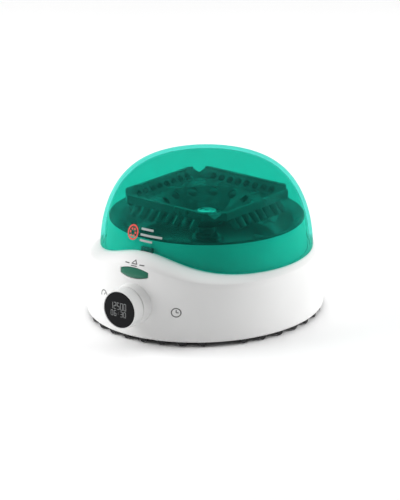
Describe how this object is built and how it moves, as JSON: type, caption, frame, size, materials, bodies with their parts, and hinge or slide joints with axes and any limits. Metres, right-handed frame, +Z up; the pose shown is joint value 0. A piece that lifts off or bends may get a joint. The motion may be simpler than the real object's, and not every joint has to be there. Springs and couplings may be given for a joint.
{
  "type": "laboratory centrifuge",
  "caption": "Compact bench centrifuge with an oval housing, a hinged clear dome lid, a square rotor for single tubes and tube strips, a press-and-turn display knob and a lid release button",
  "frame": {"origin": "on the bench under the middle of the overall box", "axes": "+Z up, the front with the knob faces -Y, +X to the right seen from above with the front towards the reader; the spin axis is vertical at y = 10 mm"},
  "size_m": [0.1936, 0.2293, 0.1326],
  "materials": {
    "housing_white": "satin, very fine moulded texture",
    "base_black": "matt moulded",
    "foot_rubber": "matt",
    "screw_steel": "zinc plated",
    "collar_white": "satin",
    "bowl_dark": "glossy",
    "seal_rubber": "matt",
    "lid_teal": "clear tinted, polished",
    "hook_black": "satin",
    "arm_white": "satin",
    "magnet_nickel": "nickel plated",
    "pin_steel": "ground",
    "spring_steel": "bright wire",
    "button_green": "satin",
    "slider_white": "natural moulded",
    "rotor_dark": "glossy moulded",
    "hub_aluminium": "turned",
    "winding_copper": "enamelled copper",
    "can_steel": "drawn",
    "stator_iron": "laminated",
    "bracket_steel": "zinc",
    "knob_white": "satin",
    "window_black": "polished",
    "display_glass": "dark panel",
    "board_green": "solder mask",
    "part_black": "matt",
    "standoff_black": "matt",
    "inlet_brass": "plated",
    "rocker_black": "satin"
  },
  "bodies": {
    "base": {"upper_housing": "housing_white", "base_plate": "base_black", "rubber_feet": "foot_rubber", "base_screws": "screw_steel", "chamber_collar": "collar_white", "chamber_bowl": "bowl_dark", "shaft_seal": "seal_rubber", "hinge_pin": "pin_steel", "lid_spring": "spring_steel", "latch_spring": "spring_steel", "latch_guide": "slider_white", "motor_can": "can_steel", "motor_cap": "can_steel", "stator": "stator_iron", "bearings": "pin_steel", "motor_bracket": "bracket_steel", "rubber_dampers": "foot_rubber", "bracket_screws": "screw_steel", "motor_screws": "screw_steel", "knob_collar": "housing_white", "encoder": "board_green", "push_switch": "part_black", "control_board": "board_green", "board_parts": "part_black", "board_standoffs": "standoff_black", "lid_sensor": "board_green", "dc_inlet": "part_black", "dc_inlet_pin": "inlet_brass", "switch_frame": "part_black"},
    "lid": {"lid": "lid_teal", "lid_hook": "hook_black", "lid_hinge_arm": "arm_white", "lid_screws": "screw_steel", "lid_magnet": "magnet_nickel"},
    "button": {"release_button": "button_green", "latch_slider": "slider_white"},
    "spinner": {"rotor_body": "rotor_dark", "rotor_hub": "hub_aluminium", "rotor_nut": "hub_aluminium", "motor_shaft": "pin_steel", "armature": "winding_copper"},
    "knob_carrier": {"knob_stem": "slider_white", "display_window": "window_black", "display_module": "display_glass"},
    "knob": {"knob_ring": "knob_white"},
    "rocker": {"switch_rocker": "rocker_black"}
  },
  "joints": [
    {"name": "lid_hinge", "type": "hinge", "parent": "base", "child": "lid", "pos_m": [0, 0.1042, 0.059], "axis": [-1, 0, 0], "range_deg": [0, 80]},
    {"name": "button_press", "type": "slide", "parent": "base", "child": "button", "axis": [0, 1, 0], "range_m": [0, 0.0022], "stiffness_N_per_m": 400, "springref_m": -0.002, "deforming": ["latch_spring"]},
    {"name": "rotor_spin", "type": "hinge", "parent": "base", "child": "spinner", "pos_m": [0, 0.01, 0.05], "axis": [0, 0, 1], "continuous": true},
    {"name": "knob_press", "type": "slide", "parent": "base", "child": "knob_carrier", "axis": [0, 1, 0], "range_m": [0, 0.00045], "stiffness_N_per_m": 2000, "springref_m": -0.0005},
    {"name": "knob_turn", "type": "hinge", "parent": "knob_carrier", "child": "knob", "pos_m": [0, -0.105, 0.032], "axis": [0, 1, 0], "continuous": true},
    {"name": "rocker_tilt", "type": "hinge", "parent": "base", "child": "rocker", "pos_m": [-0.02854, 0.10392, 0.022], "axis": [0, 0, -1], "range_deg": [0, 16]}
  ]
}
